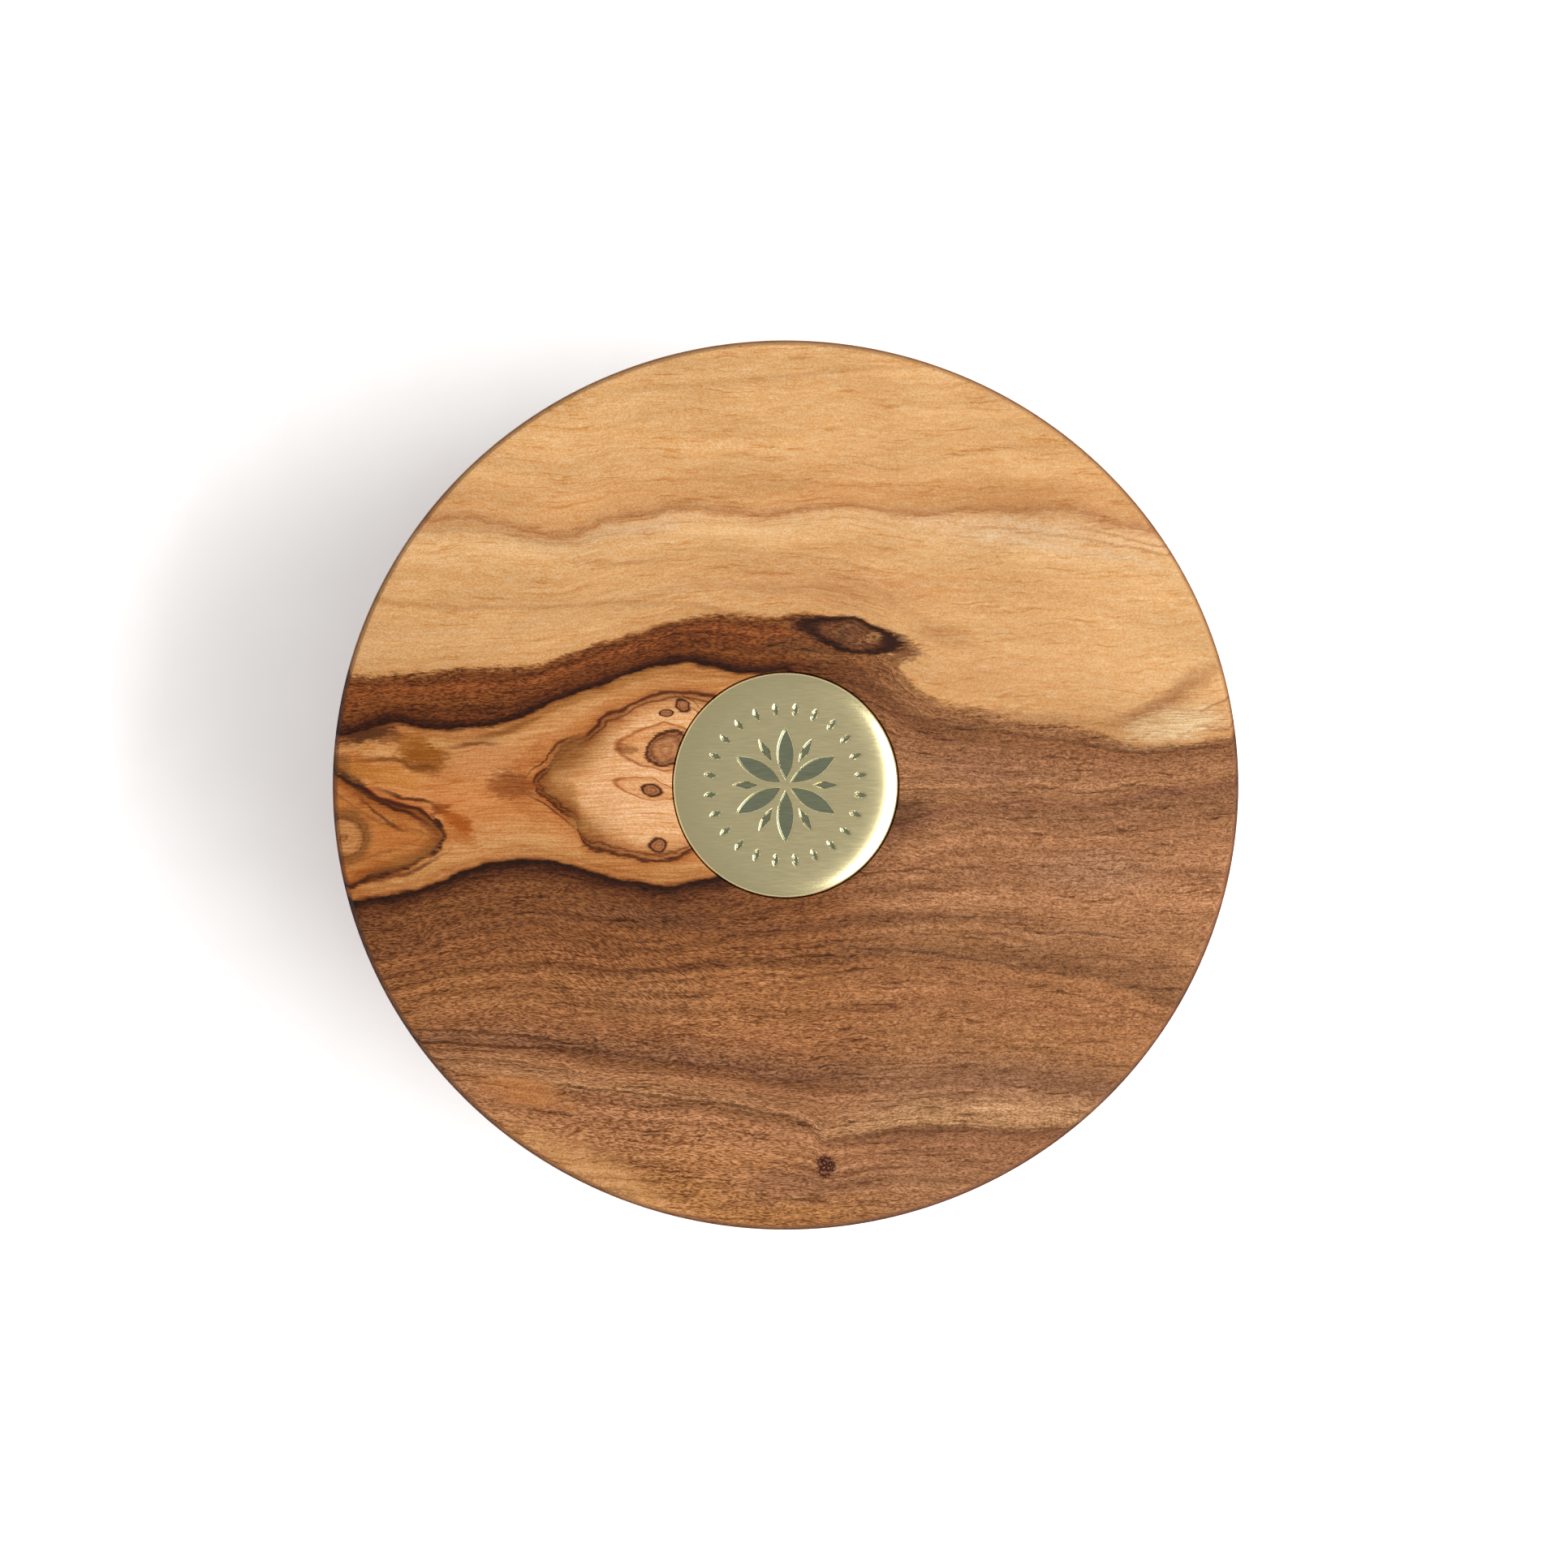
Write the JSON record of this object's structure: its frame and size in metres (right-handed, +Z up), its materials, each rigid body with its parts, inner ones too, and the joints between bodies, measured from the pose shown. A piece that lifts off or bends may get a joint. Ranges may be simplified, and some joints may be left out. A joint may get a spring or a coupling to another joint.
{
  "type": "salt keeper",
  "caption": "Round turned wooden salt keeper: a hollow bowl under a flat lid that swivels on a hidden pin, held shut by magnets, with a domed brass disc let into the lid.",
  "frame": {"origin": "centre of the foot, at table height", "axes": "+Z up through the lid, +X along the wood's grain, +Y from the magnet catch at the front to the swivel pin at the back"},
  "size_m": [0.101, 0.0992, 0.0766],
  "materials": {
    "olive_wood": "turned, sanded and oiled, satin",
    "satin_brass": "brushed one way, lightly domed",
    "turned_brass": "turned, bright",
    "stainless_steel": "turned, knurled foot",
    "natural_nylon": "milky, stamped",
    "nickel_plate": "bright nickel plate over a sintered magnet"
  },
  "bodies": {
    "base": {"bowl": "olive_wood", "pivot_pin": "stainless_steel", "pivot_washer": "natural_nylon", "bowl_magnet": "nickel_plate"},
    "swing_lid": {"lid": "olive_wood", "medallion": "satin_brass", "pivot_bush": "turned_brass", "lid_magnet": "nickel_plate"}
  },
  "joints": [
    {"name": "lid_swivel", "type": "hinge", "parent": "base", "child": "swing_lid", "pos_m": [0, 0.04213, 0.063], "axis": [0, 0, 1], "continuous": true}
  ]
}
